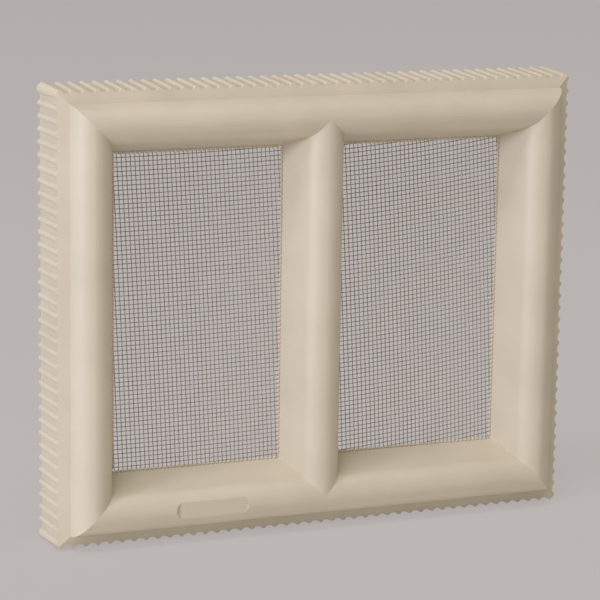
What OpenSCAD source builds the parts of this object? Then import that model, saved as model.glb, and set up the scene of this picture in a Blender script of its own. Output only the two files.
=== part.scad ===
// Ventilation grille for a wall, with two fly screens.
// X runs along the width, +Y points into the wall, Z is up.
// The origin is under the middle of the grille, on the level of its lowest ribs.

/* [Outside] */
// Width over the ribs at the back
overall_w = 242.5; // [200:0.5:320]
// Height over the ribs at the back
overall_h = 200; // [160:0.5:280]
// Depth of the ribbed wall
wall_depth = 22.5; // [18:0.1:30]
// Draft of the ribbed wall, wider towards the back
draft = 2.8; // [1:0.1:4]
// Wall thickness of the moulding
wall = 2; // [1.5:0.1:2.4]

/* [Ribs] */
// Spacing that the ribs come closest to
rib_pitch = 5.5; // [4.5:0.1:8]
// Height of a rib
rib_h = 1.2; // [0.8:0.1:1.4]
// Radius of a rib's rounded tip
rib_r = 1; // [0.5:0.05:1]
// Distance from the corner to the middle of the first rib
rib_margin = 2.2; // [2:0.1:4]

/* [Front moulding] */
// Distance from the outer edge to the crest of the half-round
crest_inset = 14.9; // [14:0.1:18]
// Distance that the crest stands in front of the ribbed wall
crest_out = 11.2; // [10.6:0.1:13]
// Radius of the outer half of the half-round
outer_r = 9.2; // [8:0.1:9.8]
// Radius of its inner half, and of the middle bar
inner_r = 8.7; // [7:0.1:9.8]
// Slope of the bevel down to the screen
bevel_angle = 17; // [12:0.5:22]
// Distance that the bevel ends behind the front of the ribbed wall
bevel_depth = 11.3; // [9:0.1:13]

/* [Screen seat] */
// Width of the lip in front of the screen
lip_w = 0.7; // [0.4:0.1:1.5]
// Thickness of the lip
lip_t = 0.6; // [0.4:0.1:1]
// Width of the screen that is held behind the lip
seat_w = 2.2; // [1.5:0.1:3]
// Clearance round the edge of the screen
screen_gap = 0.2; // [0.1:0.05:0.4]
// Distance that the collar round the screen stands behind the lip
collar_h = 2; // [1.5:0.1:3]

/* [Screens] */
// Thickness of the screen between its wires
screen_t = 0.5; // [0.4:0.1:0.8]
// Width of a wire
wire_w = 1.2; // [0.8:0.1:1.6]
// Distance that a wire stands proud of the screen
wire_h = 0.25; // [0.1:0.05:0.4]
// Gaps across one screen
gaps_x = 8; // [4:1:8]
// Gaps up one screen
gaps_z = 14; // [6:1:15]

/* [Recess on the bottom rail] */
// Length of the recess
recess_w = 33.3; // [20:0.1:40]
// Height of the recess
recess_h = 7.8; // [5:0.1:9]
// Depth of the recess at the crest of the rail
recess_t = 0.75; // [0.3:0.05:1]
// Distance from the middle of the grille to the middle of the recess
recess_x = 52.7; // [45:0.1:60]

/* [Hidden] */
$fn = 64;
over = 5;
tuck = 0.9994;
crest_cut = 0.02;

// Depths are measured from the front of the ribbed wall, where the rim meets the rib tips.
flare = wall_depth * tan(draft);
front_w = overall_w - 2 * flare;
front_h = overall_h - 2 * flare;
crest_y = -crest_out;
block_back = wall_depth + over;

// Insets of the outer half of the moulding are measured from the rib tips at the front.
foot_s = crest_inset - outer_r;
outer_y = outer_r - crest_out;
rim_slope = -outer_y / foot_s;

// Insets of its inner half are measured from the crest, on the rails and the middle bar alike.
// A bevel's line starts just inside its round, and leaves it at a faint crease.
inner_y = inner_r - crest_out;
bevel_s = tuck * inner_r * cos(bevel_angle);
bevel_y = inner_y - tuck * inner_r * sin(bevel_angle);
bevel_end_s = bevel_s + (bevel_depth - bevel_y) * tan(bevel_angle);
lip_s = bevel_end_s + lip_w;
seat_s = lip_s - seat_w;
collar_s = seat_s - wall;
seat_y = bevel_depth + lip_t;
collar_y = seat_y + collar_h;

// Size and place of the crest line round one opening
opening_w = front_w / 2 - crest_inset;
opening_h = front_h - 2 * crest_inset;
opening_x = opening_w / 2;

// Sizes of a screen and of what is seen of it
screen_w = opening_w - 2 * (seat_s + screen_gap);
screen_h = opening_h - 2 * (seat_s + screen_gap);
sight_w = opening_w - 2 * (lip_s + screen_gap);
sight_h = opening_h - 2 * (lip_s + screen_gap);

function rim_y(s) = -rim_slope * s;
function rim_back_y(s) = rim_y(s) + wall * sqrt(1 + rim_slope * rim_slope);
function wall_back_s(y) = rib_h + wall - y * tan(draft);

// Moves the grille from its working place to its origin
module place() translate([0, -(crest_y + wall_depth) / 2, overall_h / 2]) children();

// Front of the moulding across its whole run: rim, outer quarter-round and the level of the crest
module front_section(run) {
    half = run / 2;
    intersection() {
        union() {
            polygon([
                [-half - over, block_back],
                [-half - over, rim_y(-over)],
                [-half + foot_s + 1, rim_y(foot_s + 1)],
                [-half + crest_inset, outer_y],
                [-half + crest_inset, crest_y - over],
                [half - crest_inset, crest_y - over],
                [half - crest_inset, outer_y],
                [half - foot_s - 1, rim_y(foot_s + 1)],
                [half + over, rim_y(-over)],
                [half + over, block_back]
            ]);
            for (side = [-1, 1]) translate([side * (half - crest_inset), outer_y])
                circle(r = outer_r);
        }
        translate([-run, crest_y + crest_cut]) square([2 * run, block_back - crest_y]);
    }
}

// The same, a wall thickness further in, with the slope of the ribbed wall's inner face
module front_hollow_section(run) {
    half = run / 2;
    corner_y = rim_back_y(rib_h + wall) / (1 - rim_slope * tan(draft));
    inside_s = crest_inset - outer_r / 2;
    intersection() {
        union() {
            polygon([
                [-half + wall_back_s(block_back), block_back],
                [-half + wall_back_s(corner_y), corner_y],
                [-half + inside_s, rim_back_y(inside_s)],
                [-half + crest_inset, outer_y],
                [-half + crest_inset, crest_y],
                [half - crest_inset, crest_y],
                [half - crest_inset, outer_y],
                [half - inside_s, rim_back_y(inside_s)],
                [half - wall_back_s(corner_y), corner_y],
                [half - wall_back_s(block_back), block_back]
            ]);
            for (side = [-1, 1]) translate([side * (half - crest_inset), outer_y])
                circle(r = outer_r - wall);
        }
        translate([-run, crest_y + wall + crest_cut]) square([2 * run, block_back - crest_y]);
    }
}

// Opening from crest to crest: inner quarter-rounds, bevels and the hole inside the lip
module opening_section(run) {
    half = run / 2;
    difference() {
        polygon([
            [-half + lip_s, block_back],
            [-half + lip_s, bevel_depth],
            [-half + bevel_end_s, bevel_depth],
            [-half + bevel_s, bevel_y],
            [-half, inner_y],
            [-half, crest_y - over],
            [half, crest_y - over],
            [half, inner_y],
            [half - bevel_s, bevel_y],
            [half - bevel_end_s, bevel_depth],
            [half - lip_s, bevel_depth],
            [half - lip_s, block_back]
        ]);
        for (side = [-1, 1]) translate([side * half, inner_y]) circle(r = inner_r);
    }
}

// The wall that stands round an opening, down to the back of its collar
module opening_wall_section(run) {
    half = run / 2;
    hollow_r = inner_r - wall;
    turn_s = tuck * hollow_r * cos(bevel_angle);
    turn_y = inner_y - tuck * hollow_r * sin(bevel_angle);
    difference() {
        polygon([
            [-half + collar_s, collar_y],
            [-half + collar_s, turn_y + (collar_s - turn_s) / tan(bevel_angle)],
            [-half + turn_s, turn_y],
            [-half, inner_y],
            [-half, crest_y - over],
            [half, crest_y - over],
            [half, inner_y],
            [half - turn_s, turn_y],
            [half - collar_s, turn_y + (collar_s - turn_s) / tan(bevel_angle)],
            [half - collar_s, collar_y]
        ]);
        for (side = [-1, 1]) translate([side * half, inner_y]) circle(r = hollow_r);
    }
}

// What two extruded sections share, one across the width and one up the height
module across(reach) linear_extrude(height = reach, center = true) children();

module upright(reach) rotate([0, 90, 0]) linear_extrude(height = reach, center = true) children();

module front_form() intersection() {
    across(2 * overall_h) front_section(front_w);
    upright(2 * overall_w) front_section(front_h);
}

module front_hollow() intersection() {
    across(2 * overall_h) front_hollow_section(front_w);
    upright(2 * overall_w) front_hollow_section(front_h);
}

module opening() intersection() {
    across(2 * overall_h) opening_section(opening_w);
    upright(2 * overall_w) opening_section(opening_h);
}

module opening_wall() intersection() {
    across(2 * overall_h) opening_wall_section(opening_w);
    upright(2 * overall_w) opening_wall_section(opening_h);
}

// Repeats a form at both openings
module both() for (side = [-1, 1]) translate([side * opening_x, 0, 0]) children();

// Edge of one side: ribs with rounded tips and 45 degree flanks, measured up from their tips
module ribbed_edge(run, reach) {
    first = run / 2 - rib_margin;
    count = round(2 * first / rib_pitch);
    step = 2 * first / count;
    foot = rib_h - rib_r + 2 * rib_r * cos(45);
    half_rib = concat([for (turn = [0, 15, 45]) rib_r * [sin(turn), cos(turn) - 1]],
        [[foot, -rib_h]]);
    polygon(concat(
        [[-run / 2 - over, -reach], [-run / 2 - over, 0]],
        [for (i = [0 : count - 1]) each concat(
            [for (k = [(i == 0 ? 0 : 1) : 3]) half_rib[k] + [i * step - first, 0]],
            [for (k = [3 : -1 : (i == count - 1 ? 0 : 1)])
                [(i + 1) * step - first - half_rib[k].x, half_rib[k].y]]
        )],
        [[run / 2 + over, 0], [run / 2 + over, -reach]]
    ));
}

// Slab with one ribbed edge on top, leaning outwards towards the back by the draft
module ribbed_slab(run, height) {
    translate([0, wall_depth, height / 2 + flare]) rotate([90 + draft, 0, 0])
        translate([0, 0, -over]) linear_extrude(height = 3 * wall_depth)
            ribbed_edge(run, height + 4 * over);
}

// Block between two planes that slope outwards towards the back
module sloped_block(half, slope) {
    front = 2 * crest_y;
    linear_extrude(height = 2 * (overall_w + overall_h), center = true) polygon([
        [-half - slope * front, front],
        [half + slope * front, front],
        [half + slope * block_back, block_back],
        [-half - slope * block_back, block_back]
    ]);
}

// Outer form of the ribbed wall: what four ribbed slabs share, less its corners
module ribbed_block() {
    corner_leg = rib_margin - rib_r / 2;
    corner_half = ((front_w + front_h) / 2 - corner_leg) / sqrt(2);
    intersection() {
        translate([-overall_w, 2 * crest_y, -overall_h])
            cube([2 * overall_w, wall_depth - 2 * crest_y, 2 * overall_h]);
        ribbed_slab(front_w, front_h);
        rotate([0, 180, 0]) ribbed_slab(front_w, front_h);
        rotate([0, 90, 0]) ribbed_slab(front_h, front_w);
        rotate([0, 270, 0]) ribbed_slab(front_h, front_w);
        rotate([0, 45, 0]) sloped_block(corner_half, sqrt(2) * tan(draft));
        rotate([0, -45, 0]) sloped_block(corner_half, sqrt(2) * tan(draft));
    }
}

// Hollow back of the moulding, with a wall left round each opening
module hollow_back() difference() {
    front_hollow();
    both() opening_wall();
}

// Seats of the two screens
module seats() both() translate([-opening_w / 2 + seat_s, seat_y, -opening_h / 2 + seat_s])
    cube([opening_w - 2 * seat_s, wall_depth, opening_h - 2 * seat_s]);

// Flat-bottomed oval recess in the crest of the bottom rail
module rail_recess() {
    end_x = (recess_w - recess_h) / 2;
    translate([-recess_x, crest_y + recess_t, -opening_h / 2]) rotate([90, 0, 0])
        linear_extrude(height = over) union() {
            for (side = [-1, 1]) translate([side * end_x, 0]) circle(d = recess_h);
            square([2 * end_x, recess_h], center = true);
        }
}

// One-piece moulding: ribbed wall, front moulding, middle bar and seats for the screens
module frame() {
    color([0.80, 0.75, 0.67]) place() difference() {
        intersection() {
            ribbed_block();
            front_form();
        }
        both() opening();
        hollow_back();
        seats();
        rail_recess();
    }
}

// One fly screen: a thin wall with square gaps, and wires proud of it both ways
module screen() {
    step_x = sight_w / gaps_x;
    step_z = sight_h / gaps_z;
    difference() {
        union() {
            translate([-screen_w / 2, 0, -screen_h / 2]) cube([screen_w, screen_t, screen_h]);
            for (j = [1 : gaps_z - 1])
                translate([-sight_w / 2, -wire_h, -sight_h / 2 + j * step_z - wire_w / 2])
                    cube([sight_w, screen_t, wire_w]);
            for (i = [1 : gaps_x - 1])
                translate([-sight_w / 2 + i * step_x - wire_w / 2, wire_h, -sight_h / 2])
                    cube([wire_w, screen_t, sight_h]);
        }
        for (i = [0 : gaps_x - 1], j = [0 : gaps_z - 1])
            translate([-sight_w / 2 + (i + 0.5) * step_x, 0, -sight_h / 2 + (j + 0.5) * step_z])
                cube([step_x - wire_w, 4 * screen_t, step_z - wire_w], center = true);
    }
}

module left_screen() {
    color([0.38, 0.34, 0.30]) place() translate([-opening_x, seat_y, 0]) screen();
}

module right_screen() {
    color([0.38, 0.34, 0.30]) place() translate([opening_x, seat_y, 0]) screen();
}

frame();
left_screen();
right_screen();
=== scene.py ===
# %% [markdown]
# # Dressing a ventilation grille
# The grille is one plastic moulding with two woven fly screens behind its openings.
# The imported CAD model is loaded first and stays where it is, because every later piece
# takes its place from it. All lengths in this scene are metres.

import bpy
import numpy as np
from mathutils import Matrix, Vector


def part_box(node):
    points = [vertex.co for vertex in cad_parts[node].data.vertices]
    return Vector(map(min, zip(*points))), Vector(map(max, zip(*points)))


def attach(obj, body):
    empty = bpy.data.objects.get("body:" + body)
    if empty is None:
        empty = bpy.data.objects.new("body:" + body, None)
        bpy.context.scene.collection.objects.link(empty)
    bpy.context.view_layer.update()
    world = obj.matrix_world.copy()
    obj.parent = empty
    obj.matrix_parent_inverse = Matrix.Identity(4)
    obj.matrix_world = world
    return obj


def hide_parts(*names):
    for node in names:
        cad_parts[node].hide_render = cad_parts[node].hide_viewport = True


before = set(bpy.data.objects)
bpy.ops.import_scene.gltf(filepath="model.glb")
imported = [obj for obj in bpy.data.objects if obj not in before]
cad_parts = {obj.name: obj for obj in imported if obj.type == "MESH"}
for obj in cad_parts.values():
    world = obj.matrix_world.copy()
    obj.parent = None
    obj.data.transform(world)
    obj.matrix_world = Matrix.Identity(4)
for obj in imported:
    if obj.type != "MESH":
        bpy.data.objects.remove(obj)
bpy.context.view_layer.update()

MM = 0.001
print("nodes:", sorted(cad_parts))

# %% [markdown]
# ## Colours and nodes
# Paint charts and screens give colours in sRGB, but a renderer adds up light, so it needs
# linear values. One function does the conversion for every material. A second one adds a
# shader node with its settings, values and links, so that a material reads like a list.

# %% Helpers for materials
def linear(hex_code):
    """sRGB hex to linear RGBA: c / 12.92 below 0.04045, else ((c + 0.055) / 1.055) ** 2.4."""
    code = hex_code.lstrip("#")
    srgb = np.array([int(code[i : i + 2], 16) for i in (0, 2, 4)]) / 255
    bright = ((srgb + 0.055) / 1.055) ** 2.4
    return (*np.where(srgb <= 0.04045, srgb / 12.92, bright), 1.0)


def add_node(tree, kind, values=None, links=None, **settings):
    """Adds one node, sets its settings and socket values, and links sockets into it."""
    node = tree.nodes.new(kind)
    for name, value in settings.items():
        setattr(node, name, value)
    for socket, value in (values or {}).items():
        node.inputs[socket].default_value = value
    for socket, source in (links or {}).items():
        tree.links.new(source, node.inputs[socket])
    return node


def new_material(name):
    """An empty node material with its output, and the tree to build it in."""
    material = bpy.data.materials.new(name)
    material.use_nodes = True
    material.node_tree.nodes.clear()
    output = add_node(material.node_tree, "ShaderNodeOutputMaterial")
    return material, material.node_tree, output


print("sand beige, linear:", [round(float(value), 3) for value in linear("#CABEA7")])

# %% [markdown]
# ## The moulded plastic
# Outdoor grilles are moulded from ASA or rigid PVC. The mould is spark-eroded, which leaves
# a fine grain that spreads highlights into a satin sheen. A noise a third of a millimetre
# wide stands for the grain, and a much larger, very faint one for flow and handling marks.

# %% Satin plastic
GRAIN_MM = 0.35
MOTTLE_MM = 22.0


def satin_plastic():
    """Moulded ASA: IOR 1.5, roughness near 0.45, grain as bump, faint mottle as colour."""
    material, tree, output = new_material("moulded_asa_sand")
    place = add_node(tree, "ShaderNodeTexCoord").outputs["Object"]
    grain = add_node(
        tree,
        "ShaderNodeTexNoise",
        {"Scale": 1 / (GRAIN_MM * MM), "Detail": 2.0, "Roughness": 0.6},
        {"Vector": place},
    )
    mottle = add_node(
        tree,
        "ShaderNodeTexNoise",
        {"Scale": 1 / (MOTTLE_MM * MM), "Detail": 3.0, "Roughness": 0.5},
        {"Vector": place},
    )
    colour = add_node(tree, "ShaderNodeValToRGB", links={"Fac": mottle.outputs["Fac"]})
    colour.color_ramp.elements[0].position = 0.3
    colour.color_ramp.elements[0].color = linear("#C7BBA4")
    colour.color_ramp.elements[1].position = 0.7
    colour.color_ramp.elements[1].color = linear("#CEC1AB")
    gloss = add_node(
        tree,
        "ShaderNodeMapRange",
        {"From Min": 0.3, "From Max": 0.7, "To Min": 0.4, "To Max": 0.5},
        {"Value": mottle.outputs["Fac"]},
    )
    bump = add_node(
        tree,
        "ShaderNodeBump",
        {"Strength": 0.12, "Distance": 0.05 * MM},
        {"Height": grain.outputs["Fac"]},
    )
    shader = add_node(
        tree,
        "ShaderNodeBsdfPrincipled",
        {"IOR": 1.5},
        {
            "Base Color": colour.outputs["Color"],
            "Roughness": gloss.outputs["Result"],
            "Normal": bump.outputs["Normal"],
        },
    )
    tree.links.new(shader.outputs["BSDF"], output.inputs["Surface"])
    return material


plastic = satin_plastic()
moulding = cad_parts["frame"]
moulding.data.materials.clear()
moulding.data.materials.append(plastic)
print("moulding:", len(moulding.data.polygons), "triangles")

# %% [markdown]
# ## The wire of the fly screens
# The screens are woven from thin drawn wire that has gone dull and brown outdoors. It is
# still metal, so each crimp shows a bright side and a dark side, and that is what makes the
# weave readable from a step away.

# %% Weathered wire
def weathered_wire():
    """Drawn steel wire with a brown film: mostly metallic, roughness near 0.4, film as colour."""
    material, tree, output = new_material("weathered_steel_wire")
    place = add_node(tree, "ShaderNodeTexCoord").outputs["Object"]
    film = add_node(
        tree,
        "ShaderNodeTexNoise",
        {"Scale": 1 / (6 * MM), "Detail": 3.0, "Roughness": 0.6},
        {"Vector": place},
    )
    colour = add_node(tree, "ShaderNodeValToRGB", links={"Fac": film.outputs["Fac"]})
    colour.color_ramp.elements[0].position = 0.35
    colour.color_ramp.elements[0].color = linear("#968B80")
    colour.color_ramp.elements[1].position = 0.65
    colour.color_ramp.elements[1].color = linear("#ADA297")
    shader = add_node(
        tree,
        "ShaderNodeBsdfPrincipled",
        {"Metallic": 0.7, "Roughness": 0.42},
        {"Base Color": colour.outputs["Color"]},
    )
    tree.links.new(shader.outputs["BSDF"], output.inputs["Surface"])
    return material


wire_metal = weathered_wire()

# %% [markdown]
# ## Weaving a screen
# A plain weave has wires at whole numbers u across and v up. Each wire bends over one
# crossing wire and under the next, so its depth is a cosine of pi times (u + v), with the
# opposite sign for the two directions. Each sheet was laid in by hand, askew and not quite
# flat, so a quadratic in u and v places the crossings. Its numbers were fitted to the wires
# that the photograph shows.

# %% Map of the weave
WIRE_R = 0.18 * MM
MESH_PITCH = 2.0 * MM
STEPS = 3
SIDES = 5
SLANT_ROOM = 1.3
SPARE_WIRES = 8
WEAVES = {
    "left_screen": dict(
        x_mm=(-0.54324, 1.9982, -0.10266, -0.0010005, 9.1452e-05, -0.00027546),
        z_mm=(0.10773, 0.049394, 2.0041, 0.0010995, 1.7474e-05, 0.00011733),
    ),
    "right_screen": dict(
        x_mm=(0.47161, 1.9996, -0.1047, -0.0014822, 0.00013597, -0.00029193),
        z_mm=(-0.013585, 0.22584, 2.0055, 0.0022683, -6.0546e-05, 7.394e-05),
    ),
}


def weave_point(u, v, x_mm, z_mm):
    """Place of (u, v) on a screen: x and z are each a + b u + c v + d u u + e u v + f v v."""
    terms = np.stack([np.ones_like(u), u, v, u * u, u * v, v * v], axis=-1)
    return terms @ np.array(x_mm) * MM, terms @ np.array(z_mm) * MM


def wire_lines(half_w, half_h, across, **weave):
    """Centre lines of one family of wires, as (wire, step, xyz), and which points lie inside.

    Depth is WIRE_R * cos(pi * (u + v)), so that crossing wires just touch.
    """
    reach_u = int(SLANT_ROOM * half_w / MESH_PITCH) + SPARE_WIRES
    reach_v = int(SLANT_ROOM * half_h / MESH_PITCH) + SPARE_WIRES
    whole, along = (reach_v, reach_u) if across else (reach_u, reach_v)
    wires = np.arange(-whole, whole + 1.0)[:, None]
    steps = np.arange(-along * STEPS, along * STEPS + 1)[None, :] / STEPS
    wires, steps = np.broadcast_arrays(wires, steps)
    u, v = (steps, wires) if across else (wires, steps)
    x, z = weave_point(u, v, **weave)
    depth = WIRE_R * np.cos(np.pi * (u + v)) * (-1 if across else 1)
    inside = (np.abs(x) < half_w - WIRE_R) & (np.abs(z) < half_h - WIRE_R)
    return np.stack([x, depth, z], axis=-1), inside


def tubes(lines, inside):
    """Round tubes along many lines at once: each point gets a ring of SIDES corners, WIRE_R out
    from it, square to the line. Only stretches whose two ends lie inside get faces, and a wire
    with no more than two gaps' length inside gets none."""
    count, length, _ = lines.shape
    tangent = np.gradient(lines, axis=1)
    tangent /= np.linalg.norm(tangent, axis=-1, keepdims=True)
    depth_way = np.broadcast_to([0.0, 1.0, 0.0], tangent.shape)
    side_way = np.cross(tangent, depth_way)
    side_way /= np.linalg.norm(side_way, axis=-1, keepdims=True)
    out_way = np.cross(tangent, side_way)
    turn = 2 * np.pi * np.arange(SIDES) / SIDES
    ring = (
        side_way[:, :, None, :] * np.cos(turn)[:, None]
        + out_way[:, :, None, :] * np.sin(turn)[:, None]
    )
    points = (lines[:, :, None, :] + WIRE_R * ring).reshape(-1, 3)
    held = inside[:, :-1] & inside[:, 1:]
    held &= (held.sum(axis=1) > 2 * STEPS)[:, None]
    wire, step = np.nonzero(held)
    corner = (wire * length + step)[:, None] * SIDES + np.arange(SIDES)
    after = np.roll(corner, -1, axis=1)
    quads = np.stack([corner, after, after + SIDES, corner + SIDES], axis=-1).reshape(-1, 4)
    padded = np.pad(held, ((0, 0), (1, 1)))
    first = np.argwhere(padded[:, 1:] & ~padded[:, :-1])
    last = np.argwhere(padded[:, :-1] & ~padded[:, 1:])
    caps = [
        (ends[:, 0] * length + ends[:, 1])[:, None] * SIDES + np.arange(SIDES)[::way]
        for ends, way in ((first, -1), (last, 1))
    ]
    return points, quads, np.concatenate(caps)


print("wire", 2 * WIRE_R / MM, "mm thick,", STEPS, "steps from crossing to crossing")

# %% [markdown]
# ## Putting a mesh together
# The corners that no face uses are dropped, and the rest goes into the mesh in one call.

# %% Helper for meshes
def mesh_piece(name, points, face_sets, material, body="root"):
    """A smooth-shaded mesh at the origin from corners and face index arrays."""
    used, packed = np.unique(
        np.concatenate([faces.ravel() for faces in face_sets]), return_inverse=True
    )
    faces, start = [], 0
    for face_set in face_sets:
        faces += packed[start : start + face_set.size].reshape(face_set.shape).tolist()
        start += face_set.size
    mesh = bpy.data.meshes.new(name)
    mesh.from_pydata(points[used].tolist(), [], faces)
    mesh.shade_smooth()
    mesh.materials.append(material)
    piece = bpy.data.objects.new(name, mesh)
    bpy.context.scene.collection.objects.link(piece)
    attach(piece, body)
    triangles = sum(len(face) - 2 for face in faces)
    print(name, triangles, "triangles")
    return piece


# %% Weave both screens
EDGE_GAP = 0.1 * MM
BACK_GAP = 0.02 * MM

screen_boxes = {node: np.array(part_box(node)) for node in WEAVES}
for node, weave in WEAVES.items():
    low, high = screen_boxes[node]
    middle = (low + high) / 2
    middle[1] = high[1] - 2 * WIRE_R - BACK_GAP
    half_w, _, half_h = (high - low) / 2 - EDGE_GAP
    parts = [tubes(*wire_lines(half_w, half_h, across, **weave)) for across in (False, True)]
    shift = len(parts[0][0])
    points = np.concatenate([part[0] for part in parts]) + middle
    quads = np.concatenate([parts[0][1], parts[1][1] + shift])
    caps = np.concatenate([parts[0][2], parts[1][2] + shift])
    woven = mesh_piece(node + "_weave", points, [quads, caps], wire_metal)
    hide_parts(node)

# %% [markdown]
# ## Flash on the lips
# Where the wires run out under the lip, soft plastic has crept a little way between them and
# set as a row of small beads, one in each gap. They belong to the moulding. A bead between
# two upright wires stands at a half number of u, one between two level wires at a half of v.

# %% Beads of flash
LIP_EDGE = np.array([38.615, 69.99]) * MM
LIP_MIDDLE_Y = 5.78 * MM
BEAD_LONG, BEAD_WIDE, BEAD_DEEP = 0.85 * MM, 0.75 * MM, 0.4 * MM
BEAD_BACK_OFF = 0.15 * MM
BEAD_RINGS, BEAD_SIDES = 5, 6
SPARE_GAPS = 6
ROUNDS = 6


def bead_places(x_mm, z_mm):
    """Middles and directions of the beads round one opening, seen from its own middle. Each
    round moves u or v by what a bead still misses the lip's edge by."""
    middles, ways = [], []
    for axis, other in ((0, 1), (1, 0)):
        way = np.eye(3)[2 * axis]
        for side in (-1, 1):
            count = int(LIP_EDGE[axis] / MESH_PITCH) + SPARE_GAPS
            gap = np.arange(-count, count) + 0.5
            level = np.full_like(gap, side * LIP_EDGE[other] / MESH_PITCH)
            u, v = (gap, level) if axis == 0 else (level, gap)
            for _ in range(ROUNDS):
                x, z = weave_point(u, v, x_mm, z_mm)
                miss = side * LIP_EDGE[other] - (z if axis == 0 else x)
                if axis == 0:
                    v = v + miss / MESH_PITCH
                else:
                    u = u + miss / MESH_PITCH
            held = np.abs(x if axis == 0 else z) < LIP_EDGE[axis] - BEAD_LONG
            places = np.stack([x, np.zeros_like(x), z], axis=-1)[held]
            places[:, 2 * other] += side * BEAD_BACK_OFF
            middles.append(places)
            ways.append(np.broadcast_to(way, middles[-1].shape))
    return np.concatenate(middles), np.concatenate(ways)


def beads(middles, ways):
    """Closed beads: at angle a from end to end, an oval ring stands BEAD_LONG * cos(a) from the
    middle. It is BEAD_WIDE * sin(a) across the lip and BEAD_DEEP * sin(a) in depth."""
    fall = np.pi * np.arange(1, BEAD_RINGS + 1) / (BEAD_RINGS + 1)
    turn = 2 * np.pi * np.arange(BEAD_SIDES) / BEAD_SIDES
    depth_way = np.array([0.0, 1.0, 0.0])
    side_way = np.cross(ways, depth_way)
    wide, deep = BEAD_WIDE * np.cos(turn)[:, None], BEAD_DEEP * np.sin(turn)[:, None]
    ring = side_way[:, None] * wide + depth_way * deep
    rings = (
        middles[:, None, None]
        + BEAD_LONG * ways[:, None, None] * np.cos(fall)[:, None, None]
        + ring[:, None] * np.sin(fall)[:, None, None]
    )
    tips = middles[:, None] + BEAD_LONG * ways[:, None] * np.array([[1.0], [-1.0]])
    points = np.concatenate([rings.reshape(len(middles), -1, 3), tips], axis=1)
    size = points.shape[1]
    corner = np.arange(BEAD_RINGS * BEAD_SIDES).reshape(BEAD_RINGS, BEAD_SIDES)
    after = np.roll(corner, -1, axis=1)
    quads = np.stack([corner[:-1], after[:-1], after[1:], corner[1:]], axis=-1).reshape(-1, 4)
    first = np.stack([after[0], corner[0], np.full(BEAD_SIDES, size - 2)], axis=-1)
    last = np.stack([corner[-1], after[-1], np.full(BEAD_SIDES, size - 1)], axis=-1)
    shift = (np.arange(len(middles)) * size)[:, None, None]
    faces = [(face_set + shift).reshape(-1, face_set.shape[1]) for face_set in (quads, first, last)]
    return points.reshape(-1, 3), faces


for node, weave in WEAVES.items():
    opening_middle = screen_boxes[node].mean(axis=0) * [1, 0, 1] + [0, LIP_MIDDLE_Y, 0]
    middles, ways = bead_places(**weave)
    points, faces = beads(middles + opening_middle, ways)
    side = node.split("_")[0]
    mesh_piece(side + "_lip_flash", points, faces, plastic)

# %% [markdown]
# ## Camera
# The camera stands about 1.1 m away, to the left of the grille and a little above it, and
# has a long lens. Its angles were fitted to the corners of the grille in the photograph.

# %% Camera
YAW, PITCH, ROLL = np.radians([22.40, 11.54, 0.88])
FOCAL_PIXELS = 2557.0
IMAGE_PIXELS = 600
SENSOR_MM = 36.0
DISTANCE, ASIDE, ABOVE = 1.12483, -0.00773, 0.00251
RING_CENTRE = np.array([0.0, -0.00441, 0.1])

forward = np.array(
    [np.sin(YAW) * np.cos(PITCH), np.cos(YAW) * np.cos(PITCH), -np.sin(PITCH)]
)
level = np.array([np.cos(YAW), -np.sin(YAW), 0.0])
upward = np.cross(level, forward)
to_right = np.cos(ROLL) * level + np.sin(ROLL) * upward
to_top = -np.sin(ROLL) * level + np.cos(ROLL) * upward
eye = RING_CENTRE - DISTANCE * forward + ASIDE * to_right + ABOVE * to_top

camera_data = bpy.data.cameras.new("camera")
camera_data.sensor_fit = "HORIZONTAL"
camera_data.sensor_width = SENSOR_MM
camera_data.lens = FOCAL_PIXELS / IMAGE_PIXELS * SENSOR_MM
camera_data.clip_start = 0.05
camera_data.clip_end = 50
camera = bpy.data.objects.new("camera", camera_data)
camera.matrix_world = Matrix(
    np.vstack([np.column_stack([to_right, to_top, -forward, eye]), [0, 0, 0, 1]]).tolist()
)
bpy.context.scene.collection.objects.link(camera)
bpy.context.scene.camera = camera
print("lens", round(camera_data.lens, 1), "mm, eye at", np.round(eye, 3))

# %% [markdown]
# ## Floor and light
# The floor is a plain pale sheet. A low lamp at the left lights the inner faces that look that
# way, one high at the left gives the shading of the half-rounds, and a weak, wide one overhead
# with a pale world fills the shadows.

# %% Floor
FLOOR_HALF = 12.0
EVEN_GREY = "#BAB4B2"
EVEN_SHARE = 0.85


def looked_at(tree):
    """A socket that is 1 for rays that look at a surface, straight, mirrored or through glass."""
    ray = add_node(tree, "ShaderNodeLightPath").outputs
    seen = ray["Is Camera Ray"]
    for kind in ("Is Glossy Ray", "Is Transmission Ray"):
        both = {0: seen, 1: ray[kind]}
        seen = add_node(tree, "ShaderNodeMath", None, both, operation="MAXIMUM").outputs["Value"]
    return seen


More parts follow.
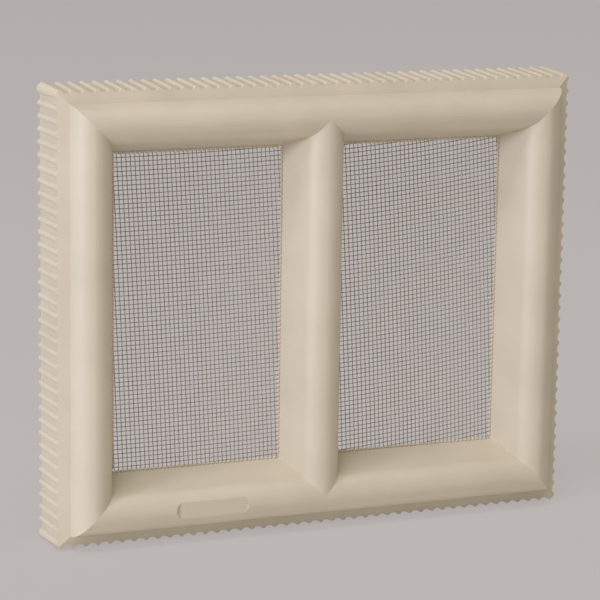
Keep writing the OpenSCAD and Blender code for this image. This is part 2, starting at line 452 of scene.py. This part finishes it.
def plain_floor():
    """A square sheet at z = 0, matt and nearly white to the light that it throws back up at the
    grille. Where it is looked at, straight on or in a reflection, most of it is an even grey."""
    material, tree, output = new_material("matt_floor_card")
    seen = looked_at(tree)
    colour = add_node(
        tree,
        "ShaderNodeMix",
        {"A": linear("#F2F0EB"), "B": linear("#D6D4D1")},
        {"Factor": seen},
        data_type="RGBA",
    )
    card = add_node(
        tree,
        "ShaderNodeBsdfPrincipled",
        {"Roughness": 0.9, "Specular IOR Level": 0.0},
        {"Base Color": colour.outputs["Result"]},
    )
    even = add_node(
        tree, "ShaderNodeEmission", {"Color": linear(EVEN_GREY), "Strength": 1.0}
    )
    share = add_node(
        tree, "ShaderNodeMath", {1: EVEN_SHARE}, {0: seen}, operation="MULTIPLY"
    )
    blend = add_node(
        tree,
        "ShaderNodeMixShader",
        links={0: share.outputs["Value"], 1: card.outputs["BSDF"], 2: even.outputs["Emission"]},
    )
    tree.links.new(blend.outputs["Shader"], output.inputs["Surface"])
    mesh = bpy.data.meshes.new("floor")
    corners = [(-1, -1), (1, -1), (1, 1), (-1, 1)]
    mesh.from_pydata([(FLOOR_HALF * x, FLOOR_HALF * y, 0) for x, y in corners], [], [(0, 1, 2, 3)])
    mesh.materials.append(material)
    floor = bpy.data.objects.new("floor", mesh)
    bpy.context.scene.collection.objects.link(floor)
    return floor


plain_floor()

# %% Lamps and world
LAMP_DISTANCE = 2.2
CENTRE = np.array([0.0, 0.0, 0.1])


def area_lamp(name, azimuth, elevation, size, watts, tint):
    """A square lamp facing the grille, size metres wide. Azimuth and elevation are in degrees,
    and azimuth runs to the right from the front."""
    data = bpy.data.lights.new(name, "AREA")
    data.size = size
    data.energy = watts
    data.color = linear(tint)[:3]
    lamp = bpy.data.objects.new(name, data)
    turn, rise = np.radians([azimuth, elevation])
    away = np.array(
        [np.cos(rise) * np.sin(turn), -np.cos(rise) * np.cos(turn), np.sin(rise)]
    )
    place = CENTRE + LAMP_DISTANCE * away
    side = np.cross([0, 0, 1], away)
    side /= np.linalg.norm(side)
    top = np.cross(away, side)
    lamp.matrix_world = Matrix(
        np.vstack([np.column_stack([side, top, away, place]), [0, 0, 0, 1]]).tolist()
    )
    bpy.context.scene.collection.objects.link(lamp)
    return lamp


area_lamp("side_window", -70, 12, 0.45, 29.6, "#E6EAFF")
area_lamp("overhead_left", -40, 65, 0.7, 22.2, "#F2F4FF")
area_lamp("overhead_right", 10, 72, 1.4, 7, "#FFF6E8")


def soft_world(tint, strength):
    """Light from all round. Where the world is looked at, it is the same even grey as the floor."""
    world = bpy.data.worlds.new("studio")
    world.use_nodes = True
    tree = world.node_tree
    tree.nodes.clear()
    fill = add_node(tree, "ShaderNodeBackground", {"Color": linear(tint), "Strength": strength})
    grey = add_node(tree, "ShaderNodeBackground", {"Color": linear(EVEN_GREY), "Strength": 1.0})
    both = {0: looked_at(tree), 1: fill.outputs["Background"], 2: grey.outputs["Background"]}
    blend = add_node(tree, "ShaderNodeMixShader", links=both)
    add_node(tree, "ShaderNodeOutputWorld", links={"Surface": blend.outputs["Shader"]})
    return world


bpy.context.scene.world = soft_world("#FFFBEA", 0.275)
bpy.context.scene.view_settings.view_transform = "Standard"
